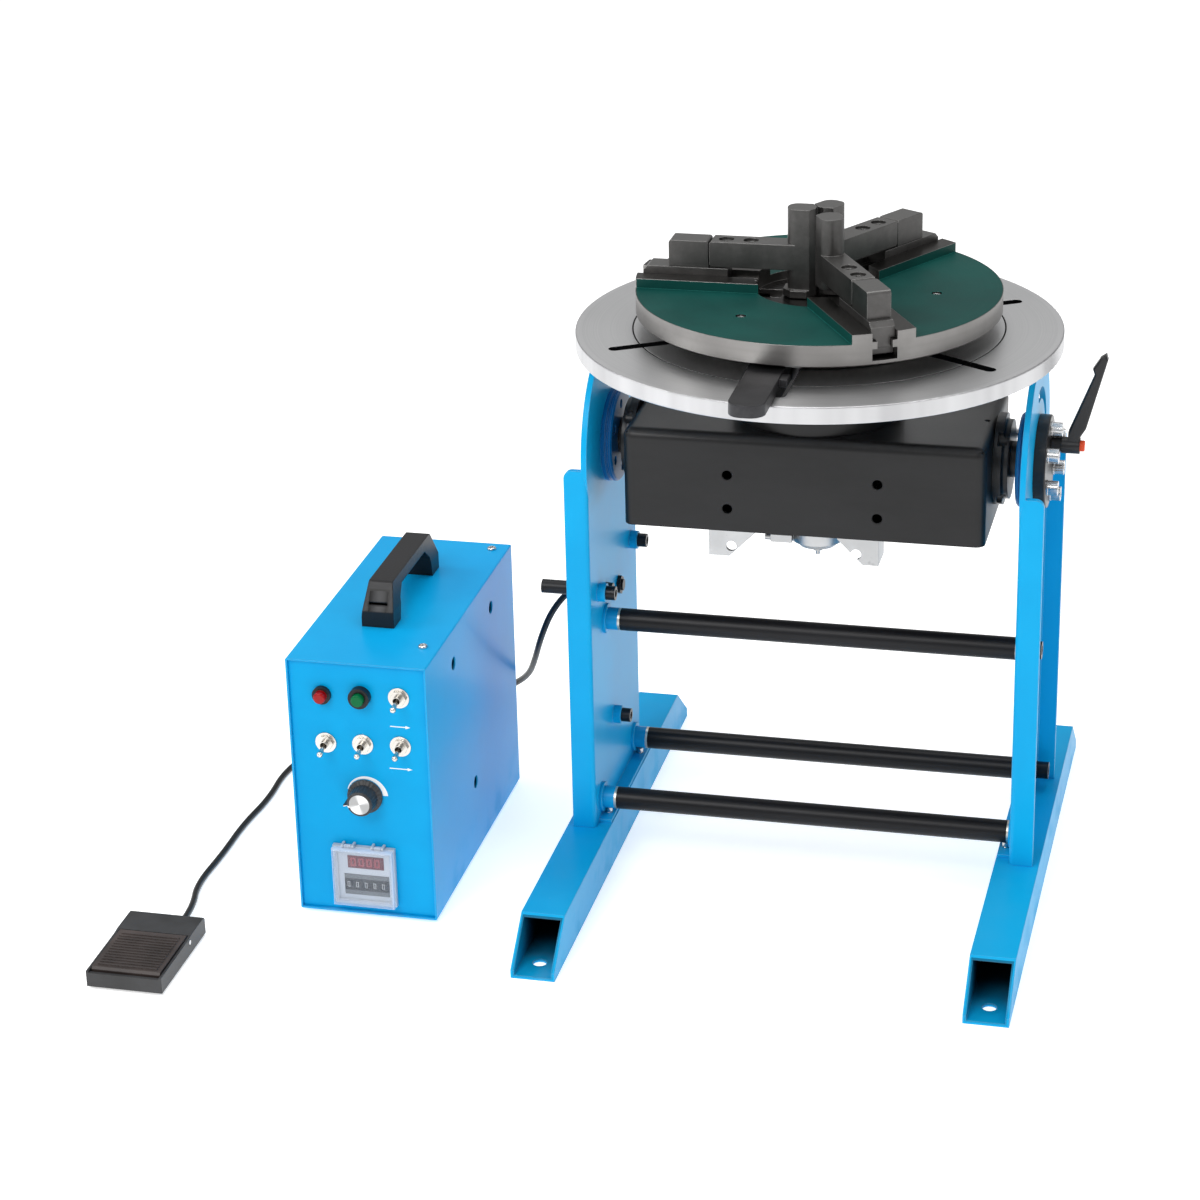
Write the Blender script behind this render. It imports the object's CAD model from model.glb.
import math

import bpy
import numpy as np
from mathutils import Matrix, Vector


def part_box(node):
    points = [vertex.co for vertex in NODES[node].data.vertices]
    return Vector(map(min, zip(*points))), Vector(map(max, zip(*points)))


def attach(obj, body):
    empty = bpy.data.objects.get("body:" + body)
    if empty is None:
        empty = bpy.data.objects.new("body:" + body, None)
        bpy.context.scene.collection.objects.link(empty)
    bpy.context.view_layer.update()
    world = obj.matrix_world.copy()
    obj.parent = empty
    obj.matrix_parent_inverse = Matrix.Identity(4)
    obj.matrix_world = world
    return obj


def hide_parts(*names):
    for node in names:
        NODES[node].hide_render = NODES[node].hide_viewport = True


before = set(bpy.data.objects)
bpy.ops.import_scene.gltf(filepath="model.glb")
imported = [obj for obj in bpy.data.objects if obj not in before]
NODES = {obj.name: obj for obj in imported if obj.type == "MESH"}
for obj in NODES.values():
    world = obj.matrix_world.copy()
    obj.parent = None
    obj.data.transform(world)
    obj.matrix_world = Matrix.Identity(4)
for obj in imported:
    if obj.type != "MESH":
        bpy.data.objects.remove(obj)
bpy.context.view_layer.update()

# Metres. +X right along the tilt axis, +Y to the back, +Z up; the floor is z = 0.
AXIS_Y = 0.0254
TABLE_RADIUS = 0.200
CHUCK_RADIUS = 0.150
CHUCK_FACE = 0.5094
RAIL_TOP = 0.5174
RAIL_HALF = 0.0258
WELL_RADIUS = 0.0526
WELL_FLOOR = 0.502
WELL_TEETH = 60
JAW_TURNS = [math.radians(angle) for angle in (180, 60, -60)]
FOOT_WALL = 0.0015

# The two blues of the stand, steel where an edge is rubbed, and the strengths of the room and the floor.
STAND = (0.003, 0.40, 0.76)
STAND_DARK = (0.002, 0.36, 0.71)
RUBBED_STEEL = (0.34, 0.335, 0.33)
ROOM_LIGHT = 0.42
FLOOR_GLOW = 0.54

# On the control box: places across and up the panel, and the turn of the knob's pointer from straight up.
CASE_LEFT = -0.407
KNOB_AT = (0.062, 0.1135)
LAMP_AT = (0.0295, 0.2038)
POINTER = math.radians(-105)
ARROWS = ((0.0867, 0.1040, 0.1795), (0.0843, 0.1040, 0.1410))


# ---------------------------------------------------------------- camera, floor and light

def make_camera(place, yaw, pitch, roll, lens):
    """Camera at place, turned left by yaw, down by pitch and rolled by roll, all in radians."""
    ahead = Vector((-math.sin(yaw) * math.cos(pitch), math.cos(yaw) * math.cos(pitch), -math.sin(pitch)))
    right = Vector((math.cos(yaw), math.sin(yaw), 0))
    up = right.cross(ahead)
    across = right * math.cos(roll) + up * math.sin(roll)
    over = up * math.cos(roll) - right * math.sin(roll)
    data = bpy.data.cameras.new("camera")
    data.lens = lens
    data.sensor_width = 36
    data.clip_end = 50
    camera = bpy.data.objects.new("camera", data)
    turn = Matrix((across, over, -ahead)).transposed().to_4x4()
    camera.matrix_world = Matrix.Translation(Vector(place)) @ turn
    bpy.context.scene.collection.objects.link(camera)
    bpy.context.scene.camera = camera


def make_lamp(name, place, aim, size, power):
    """Soft square lamp at place, facing aim."""
    data = bpy.data.lights.new(name, "AREA")
    data.size = size
    data.energy = power
    lamp = bpy.data.objects.new(name, data)
    lamp.location = place
    lamp.rotation_euler = (Vector(aim) - Vector(place)).to_track_quat("-Z", "Y").to_euler()
    bpy.context.scene.collection.objects.link(lamp)


class Value:
    """A shader socket that takes part in Python arithmetic; each operator adds a Math node."""

    def __init__(self, graph, socket):
        self.graph = graph
        self.socket = socket

    def math(self, operation, *others):
        return self.graph.node("ShaderNodeMath", {"operation": operation}, dict(enumerate((self,) + others)))

    def __add__(self, other):
        return self.math("ADD", other)

    __radd__ = __add__

    def __sub__(self, other):
        return self.math("SUBTRACT", other)

    def __rsub__(self, other):
        return self.graph.node("ShaderNodeMath", {"operation": "SUBTRACT"}, {0: other, 1: self})

    def __mul__(self, other):
        return self.math("MULTIPLY", other)

    __rmul__ = __mul__

    def __truediv__(self, other):
        return self.math("DIVIDE", other)

    def __pow__(self, other):
        return self.math("POWER", other)

    def __gt__(self, other):
        return self.math("GREATER_THAN", other)

    def __lt__(self, other):
        return self.math("LESS_THAN", other)

    def rise(self, low, high):
        """0 below low, 1 above high, smooth between."""
        return self.graph.node("ShaderNodeMapRange", {"interpolation_type": "SMOOTHSTEP"},
                               {"Value": self, "From Min": low, "From Max": high})


class Graph:
    """A node tree, to which node() adds any node."""

    def __init__(self, tree):
        self.tree = tree

    def node(self, kind, settings, sockets, out=0):
        made = self.tree.nodes.new(kind)
        for key, setting in settings.items():
            if key == "stops":
                fill_ramp(made.color_ramp, setting)
            else:
                setattr(made, key, setting)
        for key, given in sockets.items():
            if isinstance(given, Value):
                self.tree.links.new(given.socket, made.inputs[key])
            else:
                made.inputs[key].default_value = given
        return Value(self, made.outputs[out])

    def vector(self, x, y, z):
        return self.node("ShaderNodeCombineXYZ", {}, {0: x, 1: y, 2: z})

    def angle(self, across, up):
        """Angle from the up direction towards across, in radians."""
        return self.node("ShaderNodeMath", {"operation": "ARCTAN2"}, {0: across, 1: up})


class Finish(Graph):
    """One material: masks and tones come from its methods, and close() ends it in the surface shader."""

    def __init__(self, name):
        self.material = bpy.data.materials.new(name)
        self.material.use_nodes = True
        super().__init__(self.material.node_tree)
        self.tree.nodes.clear()
        self.position = self.node("ShaderNodeTexCoord", {}, {}, "Object")
        split = self.node("ShaderNodeSeparateXYZ", {}, {0: self.position}).socket.node
        self.x, self.y, self.z = (Value(self, out) for out in split.outputs)

    def noise(self, scale, detail=3.0, rough=0.5, where=None):
        return self.node("ShaderNodeTexNoise", {}, {
            "Vector": where or self.position, "Scale": scale, "Detail": detail, "Roughness": rough})

    def stretched(self, sx, sy, sz):
        """Object position with each axis scaled on its own."""
        return self.vector(self.x * sx, self.y * sy, self.z * sz)

    def ramp(self, value, *stops):
        return self.node("ShaderNodeValToRGB", {"stops": stops}, {0: value})

    def mix(self, share, first, second):
        """Colour mix: first where share is 0 and second where it is 1."""
        sockets = {0: share, 6: tint(first), 7: tint(second)}
        return self.node("ShaderNodeMix", {"data_type": "RGBA"}, sockets, 2)

    def facing(self, axis):
        """How far the surface faces along object axis 0, 1 or 2."""
        normal = self.node("ShaderNodeTexCoord", {}, {}, "Normal")
        return self.node("ShaderNodeSeparateXYZ", {}, {0: normal}, axis)

    def bump(self, height, depth, strength=1.0, edge=0.0):
        """Normal from a height field of the given depth in metres, over edges softened by the radius edge."""
        sockets = {"Strength": strength, "Distance": depth, "Height": height}
        if edge:
            sockets["Normal"] = self.node("ShaderNodeBevel", {"samples": 4}, {"Radius": edge})
        return self.node("ShaderNodeBump", {}, sockets)

    def rubbed(self, radius):
        """1 on edges rounder than the mesh shows, by the radius, and 0 on flat faces."""
        soft = self.node("ShaderNodeBevel", {"samples": 4}, {"Radius": radius})
        flat = self.node("ShaderNodeNewGeometry", {}, {}, "True Normal")
        same = self.node("ShaderNodeVectorMath", {"operation": "DOT_PRODUCT"}, {0: soft, 1: flat}, "Value")
        return (1 - same).rise(0.01, 0.12)

    def close(self, colour, roughness, metallic=0.0, normal=None, **more):
        """Principled surface; further sockets are named with _ for each space."""
        sockets = {"Base Color": tint(colour), "Roughness": roughness, "Metallic": metallic}
        if normal is not None:
            sockets["Normal"] = normal
        sockets.update({key.replace("_", " "): given for key, given in more.items()})
        surface = self.node("ShaderNodeBsdfPrincipled", {}, sockets)
        out = self.tree.nodes.new("ShaderNodeOutputMaterial")
        self.tree.links.new(surface.socket, out.inputs[0])
        return self.material


def tint(colour):
    """Adds the alpha a colour socket wants."""
    return tuple(colour) + (1.0,) if isinstance(colour, tuple) and len(colour) == 3 else colour


def fill_ramp(ramp, stops):
    """Puts each (place, colour) of stops on a colour ramp."""
    while len(ramp.elements) < len(stops):
        ramp.elements.new(1.0)
    for element, (at, colour) in zip(ramp.elements, stops):
        element.position = at
        element.color = tint(colour)


def within(across, up, left, right, low, high):
    """1 inside the rectangle from left to right and from low to high, 0 outside."""
    return (across > left) * (across < right) * (up > low) * (up < high)


def make_studio():
    """White room, a pale floor that keeps the shadow and glows on every ray, and four soft lamps."""
    world = bpy.data.worlds.new("white_room")
    bpy.context.scene.world = world
    world.use_nodes = True
    room = Graph(world.node_tree)
    by_camera = room.node("ShaderNodeLightPath", {}, {}, "Is Camera Ray")
    through_glass = room.node("ShaderNodeLightPath", {}, {}, "Is Transmission Ray")
    strength = by_camera.math("MAXIMUM", through_glass) * (1 - ROOM_LIGHT) + ROOM_LIGHT
    background = room.tree.nodes["Background"]
    background.inputs["Color"].default_value = (1, 1, 1, 1)
    room.tree.links.new(strength.socket, background.inputs["Strength"])

    half = 6.0
    corners = [(-half, -half, 0), (half, -half, 0), (half, half, 0), (-half, half, 0)]
    mesh = bpy.data.meshes.new("floor")
    mesh.from_pydata(corners, [], [(0, 1, 2, 3)])
    floor = bpy.data.objects.new("floor", mesh)
    bpy.context.scene.collection.objects.link(floor)
    pale = Finish("pale_floor")
    speck = pale.noise(60.0, 4.0)
    shade = pale.ramp(speck, (0.3, (0.93, 0.93, 0.93)), (0.7, (0.955, 0.955, 0.955)))
    mesh.materials.append(pale.close(shade, 0.9, Specular_IOR_Level=0.1, Emission_Color=(1, 1, 1, 1),
                                     Emission_Strength=FLOOR_GLOW))

    make_lamp("lamp_front", (-1.0, -2.6, 2.6), (-0.1, 0, 0.25), 1.6, 51)
    make_lamp("lamp_left", (-2.6, -0.4, 1.9), (-0.1, 0, 0.3), 1.4, 22)
    make_lamp("lamp_right", (2.4, -1.2, 1.8), (0, 0, 0.3), 1.6, 11)
    make_lamp("lamp_top", (0.1, 0.5, 3.0), (0, 0, 0.3), 2.2, 35)


make_camera((0.43413, -2.4741, 1.3208), 0.245, 0.405, -0.025, 97.15)
make_studio()
bpy.context.scene.view_settings.view_transform = "Standard"


# ---------------------------------------------------------------- finishes

def paint_finish(name, colour, dark, gloss=0.30, tube=None):
    """Powder coat: soft mottling, orange peel, lighter edges, faint scuffs and dust near the floor.

    tube is the box of a box section whose inside gets darker away from its open ends.
    """
    f = Finish(name)
    mottle = f.noise(7.0, 4.0, 0.6)
    tone = f.mix(mottle.rise(0.35, 0.65), dark, colour)
    scratches = f.noise(9.0, 6.0, 0.75, f.stretched(6.0, 6.0, 0.8)).rise(0.66, 0.74)
    dust = f.noise(38.0, 4.0).rise(0.45, 0.7) * (1 - f.z.rise(0.0, 0.05))
    tone = f.mix(scratches * 0.05, tone, (0.75, 0.80, 0.85))
    tone = f.mix(dust * 0.10, tone, (0.45, 0.47, 0.48))
    tone = f.mix(f.rubbed(0.001) * 0.35, tone, tuple(0.30 + 0.68 * c for c in colour))
    if tube:
        low, high = (Vector(corner) for corner in tube)
        inside = within(f.x, f.z, low.x + FOOT_WALL, high.x - FOOT_WALL,
                        low.z + FOOT_WALL, high.z - FOOT_WALL)
        depth = (high.y - low.y) / 2 - (f.y - (low.y + high.y) / 2).math("ABSOLUTE")
        tone = f.mix(inside * (depth.rise(0.0, 0.075) * 0.75 + 0.25), tone, (0.0, 0.012, 0.022))
    rough = gloss + mottle * 0.08 + dust * 0.25 + scratches * 0.08
    peel = f.noise(420.0, 2.0)
    return f.close(tone, rough, 0.0, f.bump(peel, 0.00006, 0.35, 0.0012), Coat_Weight=0.03,
                   Coat_Roughness=0.08, Specular_IOR_Level=0.12)


def enamel_finish(name, colour, gloss, edge=0.002):
    """Black satin enamel with a fine grain and wiped smears."""
    f = Finish(name)
    smear = f.noise(5.0, 5.0, 0.6, f.stretched(1.0, 2.2, 3.0))
    grain = f.noise(900.0, 2.0)
    tone = f.mix(smear.rise(0.35, 0.75), colour, tuple(c * 1.7 + 0.004 for c in colour))
    rough = smear * 0.16 + (gloss - 0.08) + grain * 0.05
    return f.close(tone, rough, 0.0, f.bump(grain, 0.00004, 0.3, edge), Coat_Weight=0.06, Coat_Roughness=0.15,
                   Specular_IOR_Level=0.3)


def plated_finish(name, colour, rough, grain_scale=260.0, edge=0.0006):
    """Plated or cast metal: cloudy tone, fine drawn grain and dark specks."""
    f = Finish(name)
    cloud = f.noise(30.0, 4.0)
    grain = f.noise(grain_scale, 3.0, 0.6, f.stretched(0.25, 1.0, 1.0))
    tone = f.mix(cloud.rise(0.3, 0.7), tuple(c * 0.80 for c in colour), colour)
    tone = f.mix(f.noise(120.0, 2.0).rise(0.66, 0.74) * 0.35, tone, tuple(c * 0.35 for c in colour))
    return f.close(tone, cloud * 0.12 + grain * 0.10 + (rough - 0.1), 1.0, f.bump(grain, 0.00003, 0.3, edge))


def blackened_finish(name, colour, rough, edge=0.0008):
    """Oil-blackened steel: dark cloud, bright worn specks and a fine grain."""
    f = Finish(name)
    cloud = f.noise(24.0, 5.0, 0.65)
    grain = f.noise(500.0, 3.0)
    tone = f.mix(cloud.rise(0.3, 0.72), tuple(c * 0.6 for c in colour), tuple(c * 1.35 for c in colour))
    worn = f.noise(90.0, 4.0, 0.7).rise(0.68, 0.78)
    tone = f.mix(worn * 0.4, tone, (0.34, 0.34, 0.35))
    return f.close(tone, cloud * 0.15 + rough - 0.08 + grain * 0.05, 0.75, f.bump(grain, 0.00004, 0.35, edge))


def rod_finish():
    """Black rod drawn along its length, with a bright ring at each end.

    At its left end the ring stands in from a blue boss and has a dark groove beside it.
    """
    f = Finish("tie_rod")
    boss_long, ring_wide, groove_wide = 0.0095, 0.0020, 0.0006
    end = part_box("upper_tie_rod")[1][0]
    inward = end - f.x.math("ABSOLUTE")
    cloud = f.noise(24.0, 5.0, 0.65, f.stretched(0.15, 1.0, 1.0))
    grain = f.noise(500.0, 3.0, 0.5, f.stretched(0.1, 1.0, 1.0))
    black = f.mix(cloud.rise(0.3, 0.72), (0.004, 0.004, 0.005), (0.012, 0.012, 0.014))
    left = f.x < 0.0
    beyond_boss = inward - (1 - f.x.rise(-0.1, 0.1)) * boss_long
    boss = left * (beyond_boss < 0.0)
    ring = (beyond_boss > 0.0) * (beyond_boss < ring_wide)
    groove = left * (beyond_boss > ring_wide) * (beyond_boss < ring_wide + groove_wide)
    tone = f.mix(boss, black, (0.003, 0.30, 0.62))
    tone = f.mix(ring, tone, (0.70, 0.66, 0.58))
    tone = f.mix(groove, tone, (0.004, 0.004, 0.004))
    relief = f.bump(ring * 0.6 + grain * 0.05, 0.0005, 0.5, 0.0006)
    return f.close(tone, cloud * 0.12 + grain * 0.04 + 0.28, ring, relief, Specular_IOR_Level=0.22)


def handle_finish():
    """Moulded carrying handle: leathery grain, and a rounded cap with a dark border in each sloping end."""
    f = Finish("handle_plastic")
    cap_half, border = 0.0080, 0.0015
    low, high = (Vector(corner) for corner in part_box("case_handle"))
    beside = f.x - (low.x + high.x) / 2
    up = f.z - low.z
    cloud = f.noise(18.0, 3.0)
    skin = f.noise(500.0, 2.0)
    tone = f.mix(cloud, (0.011, 0.011, 0.012), (0.017, 0.017, 0.019))
    slope = (f.facing(1).math("ABSOLUTE") > 0.3) * (f.facing(2) > 0.15)
    well = slope * within(beside, up, -cap_half - border, cap_half + border, 0.0095, 0.0310)
    cap = slope * within(beside, up, -cap_half, cap_half, 0.0135, 0.0295)
    tone = f.mix(well, tone, (0.002, 0.002, 0.002))
    ratio = beside / cap_half
    round_cap = (1 - ratio * ratio) * cap
    tone = f.mix(round_cap, tone, (0.030, 0.030, 0.032))
    return f.close(tone, skin * 0.10 + 0.30, 0.0, f.bump(skin * 0.1 + round_cap, 0.0012, 0.6, 0.0015),
                   Specular_IOR_Level=0.3)


def plastic_finish():
    """Moulded black plastic with a fine leathery grain and slight tone changes."""
    f = Finish("black_plastic")
    cloud = f.noise(18.0, 3.0)
    skin = f.noise(700.0, 2.0)
    black = (0.011, 0.011, 0.012)
    tone = f.mix(cloud, tuple(c * 0.82 for c in black), tuple(c * 1.15 for c in black))
    return f.close(tone, skin * 0.10 + cloud * 0.08 + 0.29, 0.0, f.bump(skin, 0.00005, 0.5, 0.0006),
                   Specular_IOR_Level=0.3)


def ringed(f, count):
    """Distance from the table's axis, and fine noise drawn round it in rings."""
    outward = f.vector(f.x, f.y - AXIS_Y, 0.0)
    away = f.node("ShaderNodeVectorMath", {"operation": "LENGTH"}, {0: outward}, "Value")
    return away, f.noise(1.0, 5.0, 0.7, f.vector(away * count, f.z * 40.0, 0.0))


def table_finish():
    """Face-turned steel: fine rings, dark slot walls, a bright outer band and a streaked rim."""
    f = Finish("turned_table")
    away, thread = ringed(f, 900.0)
    wide = f.noise(1.0, 3.0, 0.5, f.vector(away * 60.0, 0.0, 0.0))
    smudge = f.noise(11.0, 4.0, 0.6)
    tone = f.mix(thread, (0.62, 0.63, 0.64), (0.88, 0.88, 0.88))
    tone = f.mix(wide.rise(0.35, 0.7) * 0.30, tone, (0.76, 0.76, 0.77))
    tone = f.mix(smudge.rise(0.55, 0.8) * 0.22, tone, (0.60, 0.60, 0.61))
    slot_wall = (f.facing(2).math("ABSOLUTE") < 0.5) * (away < TABLE_RADIUS - 0.0015)
    tone = f.mix(slot_wall, tone, (0.03, 0.03, 0.032))
    band = away.rise(TABLE_RADIUS - 0.0065, TABLE_RADIUS - 0.004)
    tone = f.mix(band * 0.5, tone, (0.80, 0.80, 0.81))
    streak = f.noise(1.0, 3.0, 0.6, f.vector(f.angle(f.x, f.y - AXIS_Y) * 3.2, 0.0, 0.0))
    rim = away > TABLE_RADIUS - 0.0008
    tone = f.mix(rim * (streak.rise(0.3, 0.7) * 0.5 + 0.35), tone, (0.42, 0.42, 0.43))
    rough = thread * 0.12 + smudge * 0.10 + 0.27
    return f.close(tone, rough, 1.0, f.bump(thread, 0.00005, 0.35, 0.0008))


def chuck_finish():
    """Turned rim, ground rails and slots, painted sectors between the rails, and a toothed ring inside."""
    f = Finish("chuck_steel_and_paint")
    away, thread = ringed(f, 700.0)
    cloud = f.noise(14.0, 5.0, 0.6)
    steel = f.mix(thread, (0.20, 0.193, 0.188), (0.34, 0.33, 0.32))
    steel = f.mix(cloud.rise(0.4, 0.75) * 0.5, steel, (0.17, 0.165, 0.16))
    grain = f.noise(300.0, 3.0, 0.6, f.stretched(1.0, 0.12, 1.0))
    ground = f.mix(grain, (0.050, 0.048, 0.046), (0.11, 0.106, 0.10))
    top = f.facing(2) > 0.5
    steel = f.mix(top, steel, ground)
    behind = f.y - AXIS_Y
    painted = within(away, f.z, WELL_RADIUS, CHUCK_RADIUS - 0.0008, CHUCK_FACE - 0.0004, RAIL_TOP - 0.0003)
    for turn in JAW_TURNS:
        ahead = f.x * math.cos(turn) + behind * math.sin(turn)
        aside = behind * math.cos(turn) - f.x * math.sin(turn)
        painted = painted * (1 - (ahead > 0) * (aside.math("ABSOLUTE") < RAIL_HALF))
    coat = f.mix(cloud.rise(0.3, 0.7), (0.0015, 0.046, 0.040), (0.003, 0.066, 0.056))
    coat = f.mix(f.noise(9.0, 2.0).rise(0.6, 0.8) * 0.2, coat, (0.004, 0.085, 0.075))
    edges = f.rubbed(0.0009)
    coat = f.mix(edges * 0.8, coat, (0.012, 0.20, 0.175))
    steel = f.mix(edges * 0.5, steel, RUBBED_STEEL)
    well = top * (f.z < WELL_FLOOR + 0.0006) * (away < WELL_RADIUS)
    ring = well * (away > 0.030) * (away < 0.047)
    gaps = ring * (f.angle(f.x, behind) * WELL_TEETH).math("SINE").rise(-0.2, 0.2)
    steel = f.mix(well * 0.6, steel, (0.030, 0.029, 0.028))
    steel = f.mix(gaps, steel, (0.004, 0.004, 0.004))
    tone = f.mix(painted, steel, coat)
    metal = 1 - painted
    rough = painted * 0.16 + cloud * 0.14 + thread * 0.08 + 0.22
    return f.close(tone, rough, metal, f.bump(thread, 0.00005, 0.35, 0.0008), Specular_IOR_Level=0.15)


def jaw_finish():
    """Hardened jaws: blackened sides, lighter ground tops and rubbed edges."""
    f = Finish("jaw_steel")
    cloud = f.noise(26.0, 5.0, 0.65)
    grain = f.noise(420.0, 3.0, 0.6, f.stretched(1.0, 1.0, 0.2))
    side = f.mix(cloud.rise(0.3, 0.7), (0.074, 0.072, 0.070), (0.125, 0.121, 0.118))
    top = f.mix(grain, (0.13, 0.128, 0.125), (0.21, 0.206, 0.20))
    lit = f.facing(2).rise(0.6, 0.9)
    tone = f.mix(f.rubbed(0.0009) * 0.55, f.mix(lit, side, top), RUBBED_STEEL)
    return f.close(tone, cloud * 0.14 + grain * 0.08 + 0.26, 0.85, f.bump(grain, 0.00004, 0.35, 0.001))


def rubber_finish(name):
    """Black rubber: matt, faintly rough and dusty."""
    f = Finish(name)
    skin = f.noise(600.0, 2.0)
    dust = f.noise(20.0, 4.0)
    tone = f.mix(dust.rise(0.45, 0.75) * 0.3, (0.006, 0.006, 0.0065), (0.03, 0.03, 0.032))
    return f.close(tone, dust * 0.12 + 0.32, 0.0, f.bump(skin, 0.00005, 0.4), Specular_IOR_Level=0.35)


def pedal_finish(name, dark, light):
    """Grained moulding of the foot switch, cloudy between two tones."""
    f = Finish(name)
    cloud = f.noise(25.0, 4.0)
    skin = f.noise(520.0, 2.0)
    tone = f.mix(cloud.rise(0.3, 0.75), dark, light)
    return f.close(tone, cloud * 0.15 + 0.38, 0.0, f.bump(skin, 0.00008, 0.5, 0.0008))


def lens_finish(name, colour, glow):
    """Coloured cap, glossy, with a faint inner glow and moulding ripple."""
    f = Finish(name)
    cloud = f.noise(140.0, 3.0)
    tone = f.mix(cloud, tuple(c * 0.75 for c in colour), colour)
    return f.close(tone, cloud * 0.10 + 0.16, 0.0, f.bump(cloud, 0.00006, 0.4, 0.0006),
                   Specular_IOR_Level=0.15, Emission_Color=tint(colour), Emission_Strength=glow)


def lamp_finish():
    """Red domed lens in a black bezel."""
    f = Finish("pilot_lamp")
    beside = f.x - (CASE_LEFT + LAMP_AT[0])
    above = f.z - LAMP_AT[1]
    away = (beside * beside + above * above) ** 0.5
    cloud = f.noise(140.0, 3.0)
    lens = away < 0.0053
    tone = f.mix(lens, (0.012, 0.012, 0.013), f.mix(cloud, (0.24, 0.0, 0.001), (0.38, 0.001, 0.002)))
    return f.close(tone, 0.34 - lens * 0.16 + cloud * 0.08, 0.0, f.bump(cloud, 0.00005, 0.3, 0.0005),
                   Specular_IOR_Level=0.3)


def clear_finish():
    """Clear moulded cover: thin, bright edges and faint scuffs."""
    f = Finish("clear_cover")
    scuff = f.noise(60.0, 5.0, 0.7).rise(0.5, 0.8)
    edge = f.facing(1).math("ABSOLUTE")
    alpha = 0.55 - edge.rise(0.6, 0.98) * 0.49 + scuff * 0.03 + f.rubbed(0.0008) * 0.3
    tone = f.mix(scuff, (0.70, 0.80, 0.95), (0.88, 0.93, 1.0))
    return f.close(tone, scuff * 0.15 + 0.08, 0.0, f.bump(scuff, 0.00004, 0.3, 0.0006), Alpha=alpha)


def panel_finish():
    """Case blue with a white scale that widens round the knob and two plain arrows."""
    f = Finish("panel_blue")
    mottle = f.noise(7.0, 4.0, 0.6)
    peel = f.noise(420.0, 2.0)
    tone = f.mix(mottle.rise(0.35, 0.65), (0.0, 0.33, 0.68), (0.0, 0.37, 0.73))
    across = f.x - CASE_LEFT
    from_knob = f.z - KNOB_AT[1]
    beside = across - KNOB_AT[0]
    away = (beside * beside + from_knob * from_knob) ** 0.5
    grown = (f.angle(beside, from_knob) + 1.25) / 2.75
    marks = (away > 0.0154) * (away < 0.0161 + grown * 0.0037) * (grown > 0.0) * (grown < 1.0)
    for left, right, level in ARROWS:
        off = (f.z - level).math("ABSOLUTE")
        shaft = (across > left) * (across < right - 0.002) * (off < 0.00042)
        head = (across > right - 0.0042) * (off < (right - across) * 0.34)
        marks = marks.math("MAXIMUM", shaft).math("MAXIMUM", head)
    marks = marks * (f.facing(1) < -0.5)
    tone = f.mix(marks, tone, (0.86, 0.88, 0.90))
    return f.close(tone, mottle * 0.08 + 0.32, 0.0, f.bump(peel, 0.00006, 0.35, 0.0012), Coat_Weight=0.02,
                   Coat_Roughness=0.08, Specular_IOR_Level=0.10)


def knob_finish():
    """Black ribbed skirt, spun silver cap and a white pointer line."""
    f = Finish("knob")
    beside = f.x - (CASE_LEFT + KNOB_AT[0])
    above = f.z - KNOB_AT[1]
    away = (beside * beside + above * above) ** 0.5
    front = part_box("speed_knob")[0][1]
    face = f.y < front + 0.0012
    cap = face * (away < 0.0088)
    spun = f.noise(1.0, 4.0, 0.6, f.vector(away * 2500.0, 0.0, 0.0))
    skin = f.noise(700.0, 2.0)
    black = f.mix(skin, (0.016, 0.016, 0.017), (0.034, 0.034, 0.036))
    angle = f.angle(beside, above)
    glint = (angle * 2.0 + 0.6).math("SINE").rise(-0.6, 0.9)
    silver = f.mix(glint, f.mix(spun, (0.30, 0.30, 0.30), (0.42, 0.42, 0.42)), (0.80, 0.80, 0.80))
    ribs = (angle * 24.0).math("SINE") * (1 - face)
    along = above * math.cos(POINTER) + beside * math.sin(POINTER)
    aside = (beside * math.cos(POINTER) - above * math.sin(POINTER)).math("ABSOLUTE")
    line = (aside < 0.0009) * (along > 0.0086) * (f.facing(1) < -0.3)
    black = f.mix(line, black, (0.80, 0.80, 0.80))
    return f.close(f.mix(cap, black, silver), 0.42 - cap * 0.16 + skin * 0.08, cap,
                   f.bump(ribs * 0.5 + skin * 0.1, 0.0004, 0.6, 0.0005))


def noughts(across, up, pitch, width, height, stroke):
    """Row of plain square noughts that repeats every pitch; 1 on their strokes and 0 elsewhere."""
    cell = (across / pitch).math("FRACT") * pitch
    hollow = within(cell, up, stroke, width - stroke, stroke, height - stroke)
    return within(cell, up, 0.0, width, 0.0, height) * (1 - hollow)


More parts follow.
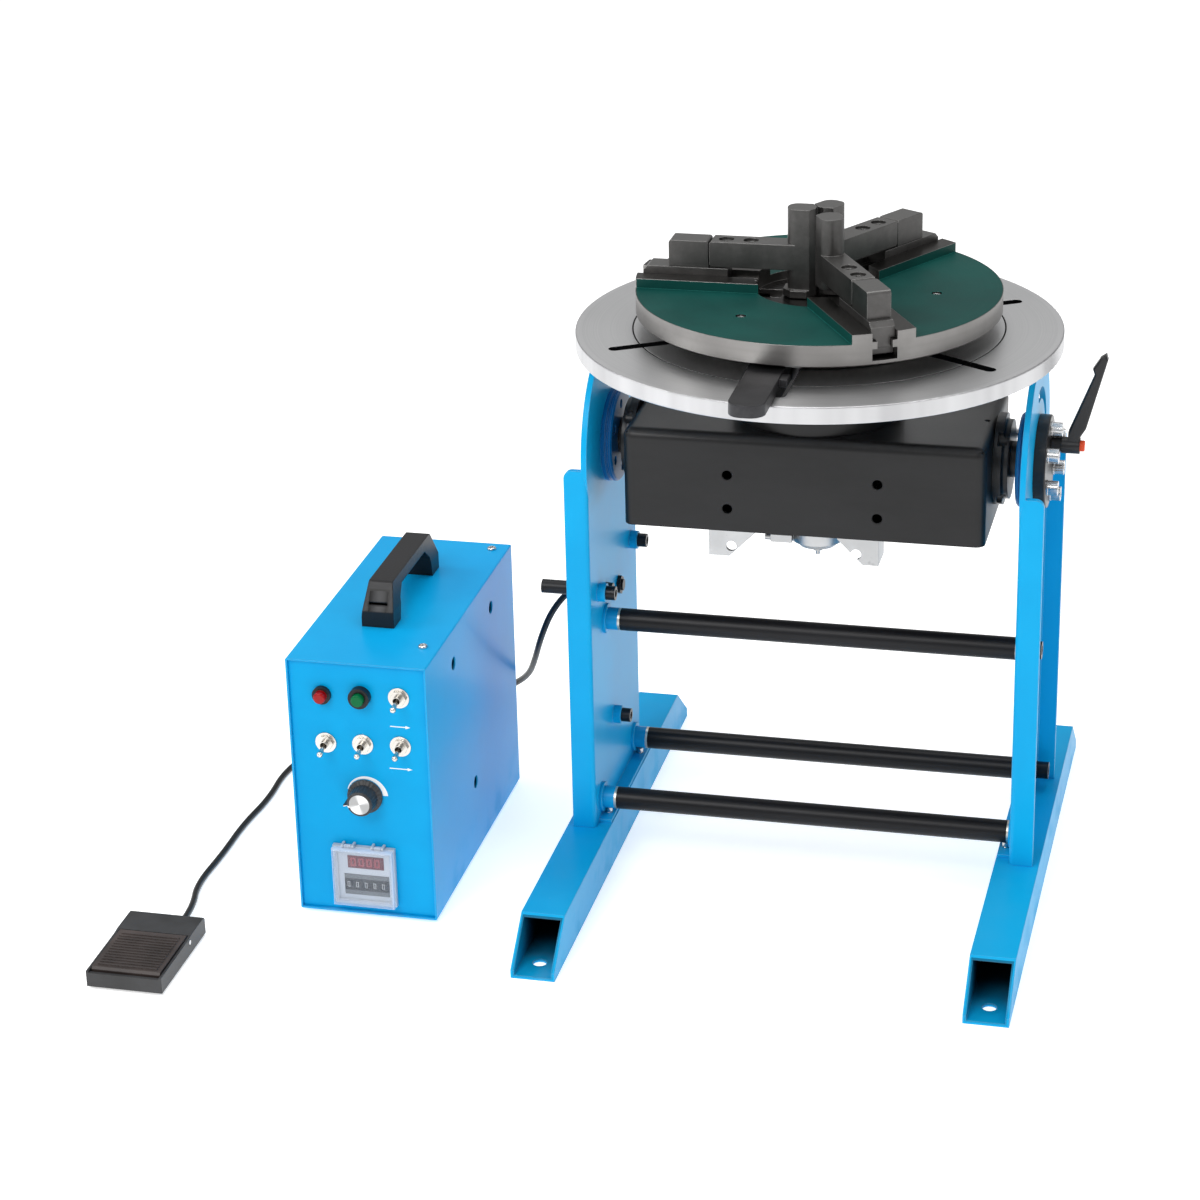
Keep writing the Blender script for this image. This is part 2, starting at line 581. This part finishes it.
def timer_finish():
    """Pale grey front with red figures in a dark window, and black setting wheels with grey figures."""
    f = Finish("timer_front")
    low = Vector(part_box("timer_body")[0])
    across = f.x - low.x
    up = f.z - low.z
    skin = f.noise(600.0, 2.0)
    cloud = f.noise(30.0, 3.0)
    front = f.y < low.y + 0.009
    face = f.mix(cloud, (0.42, 0.46, 0.52), (0.56, 0.60, 0.66))
    display = front * within(across, up, 0.0124, 0.0441, 0.0334, 0.0451)
    plate = front * within(across, up, 0.0089, 0.0481, 0.0084, 0.0276)
    wheels = plate * (up > 0.0125) * (up < 0.0235)
    tone = f.mix(wheels, f.mix(plate, face, (0.13, 0.14, 0.15)), (0.02, 0.02, 0.022))
    figures = wheels * noughts(across - 0.0113, up - 0.0155, 0.0076, 0.0026, 0.0050, 0.0006)
    tone = f.mix(figures, tone, (0.40, 0.41, 0.42))
    glass = f.mix(f.noise(160.0, 3.0), (0.085, 0.006, 0.012), (0.14, 0.012, 0.020))
    tone = f.mix(display, tone, glass)
    lit = noughts(across - 0.0150, up - 0.0355, 0.0070, 0.0045, 0.0074, 0.0011)
    lit = lit * display * (across > 0.0150) * (across < 0.0425)
    tone = f.mix(lit, tone, (0.34, 0.05, 0.06))
    tone = f.mix(front, (0.03, 0.03, 0.03), tone)
    return f.close(tone, 0.36 - display * 0.22 + skin * 0.06, 0.0, f.bump(skin, 0.00004, 0.4, 0.0005),
                   Specular_IOR_Level=0.3)


STAND_BLUE = paint_finish("stand_blue", STAND, STAND_DARK)
CASE_BLUE = paint_finish("case_blue", (0.002, 0.39, 0.76), (0.001, 0.35, 0.71), 0.26)
LEFT_FOOT_BLUE = paint_finish("left_foot_blue", STAND, STAND_DARK, tube=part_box("left_foot"))
RIGHT_FOOT_BLUE = paint_finish("right_foot_blue", STAND, STAND_DARK, tube=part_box("right_foot"))
PANEL_BLUE = panel_finish()
RING_BLUE = paint_finish("ring_blue", (0.002, 0.16, 0.44), (0.001, 0.12, 0.36))
HOUSING_BLACK = enamel_finish("housing_black", (0.004, 0.004, 0.0045), 0.36)
FITTING_BLACK = enamel_finish("fitting_black", (0.012, 0.012, 0.013), 0.30, 0.001)
ZINC = plated_finish("zinc_plate", (0.62, 0.62, 0.63), 0.30)
BRIGHT_STEEL = plated_finish("bright_steel", (0.72, 0.72, 0.72), 0.22, 500.0)
CAST = plated_finish("cast_grey", (0.54, 0.545, 0.55), 0.38, 120.0)
NICKEL = plated_finish("nickel", (0.74, 0.71, 0.66), 0.24, 500.0, 0.0003)
ROD = rod_finish()
BAR = blackened_finish("bar_black", (0.040, 0.040, 0.043), 0.34, 0.0012)
SCREW_BLACK = blackened_finish("screw_black", (0.022, 0.022, 0.024), 0.30, 0.0005)
TABLE = table_finish()
CHUCK = chuck_finish()
JAW = jaw_finish()
CORD = rubber_finish("cord_rubber")
FEET = rubber_finish("feet_rubber")
BLACK_PLASTIC = plastic_finish()
HANDLE_PLASTIC = handle_finish()
PEDAL = pedal_finish("pedal_plastic", (0.016, 0.016, 0.017), (0.040, 0.041, 0.044))
TREAD = pedal_finish("pedal_tread", (0.030, 0.022, 0.020), (0.070, 0.052, 0.048))
RED_LENS = lamp_finish()
GREEN_CAP = lens_finish("green_cap", (0.0, 0.15, 0.045), 0.0)
ORANGE_CAP = lens_finish("orange_cap", (0.80, 0.09, 0.03), 0.05)
CLEAR = clear_finish()
TIMER = timer_finish()
KNOB = knob_finish()

FINISHES = {
    "switch_bushes": NICKEL, "toggle_1": NICKEL, "toggle_2": NICKEL, "toggle_3": NICKEL, "toggle_4": NICKEL,
    "left_foot": LEFT_FOOT_BLUE, "right_foot": RIGHT_FOOT_BLUE,
    "left_upright": STAND_BLUE, "right_upright": STAND_BLUE,
    "left_bearing_ring": RING_BLUE, "right_bearing_ring": RING_BLUE,
    "case_shell": CASE_BLUE, "case_panel": PANEL_BLUE,
    "housing": HOUSING_BLACK, "housing_floor": HOUSING_BLACK, "spindle_housing": HOUSING_BLACK,
    "left_trunnion": FITTING_BLACK, "right_trunnion": FITTING_BLACK, "frame_screws": SCREW_BLACK,
    "clamp_disc": FITTING_BLACK, "tilt_lever": FITTING_BLACK, "gear_motor": FITTING_BLACK,
    "lower_tie_rods": ROD, "upper_tie_rod": ROD, "rod_screws": SCREW_BLACK, "rod_washers": STAND_BLUE,
    "turntable": TABLE, "spindle": BRIGHT_STEEL, "chuck_body": CHUCK, "chuck_screws": BRIGHT_STEEL,
    "small_screws": BRIGHT_STEEL, "trunnion_screws": BRIGHT_STEEL,
    "underside_brackets": CAST, "earth_collector": CAST,
    "scroll_ring": JAW, "handle_bar": BAR,
    "lever_button": ORANGE_CAP, "pilot_lamp": RED_LENS,
    "reset_button": GREEN_CAP, "reset_bezel": BLACK_PLASTIC,
    "motor_cord": CORD, "pedal_cord": CORD, "rubber_feet": FEET,
    "cord_fittings": BLACK_PLASTIC, "mains_inlet": BLACK_PLASTIC, "speed_knob": KNOB,
    "case_handle": HANDLE_PLASTIC, "pedal_base": PEDAL, "pedal_treadle": TREAD,
    "timer_body": TIMER, "timer_cover": CLEAR,
}
for name, node in NODES.items():
    finish = FINISHES.get(name, JAW if "_jaw_" in name else ZINC)
    node.data.materials.clear()
    node.data.materials.append(finish)


# ---------------------------------------------------------------- cords

def make_cord(name, node, points, diameter):
    """Round tube of the given diameter along a smooth curve of order 3 that the route's points pull on."""
    curve = bpy.data.curves.new(name, "CURVE")
    curve.dimensions = "3D"
    curve.bevel_depth = diameter / 2
    curve.bevel_resolution = 5
    curve.use_fill_caps = True
    line = curve.splines.new("NURBS")
    line.points.add(len(points) - 1)
    line.points.foreach_set("co", np.hstack([np.array(points), np.ones((len(points), 1))]).ravel())
    line.order_u = 3
    line.use_endpoint_u = True
    line.resolution_u = 12
    piece = bpy.data.objects.new(name, curve)
    bpy.context.scene.collection.objects.link(piece)
    curve.materials.append(CORD)
    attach(piece, "stand")
    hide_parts(node)


make_cord("motor_cable", "motor_cord", [
    (-0.1977, 0.040, 0.226), (-0.219, 0.041, 0.220), (-0.241, 0.052, 0.192), (-0.256, 0.066, 0.158),
    (-0.270, 0.094, 0.122), (-0.286, 0.131, 0.090), (-0.309, 0.156, 0.066), (-0.339, 0.156, 0.053),
    (-0.360, 0.135, 0.0485), (-0.360, 0.105, 0.048)], 0.0056)
make_cord("pedal_cable", "pedal_cord", [
    (-0.494, -0.237, 0.009), (-0.496, -0.205, 0.006), (-0.509, -0.160, 0.0029), (-0.506, -0.100, 0.0029),
    (-0.507, -0.045, 0.0029), (-0.501, 0.010, 0.0029), (-0.505, 0.065, 0.0029), (-0.490, 0.120, 0.0029),
    (-0.450, 0.160, 0.0032), (-0.395, 0.168, 0.012), (-0.362, 0.140, 0.027), (-0.360, 0.105, 0.027)],
    0.0056)
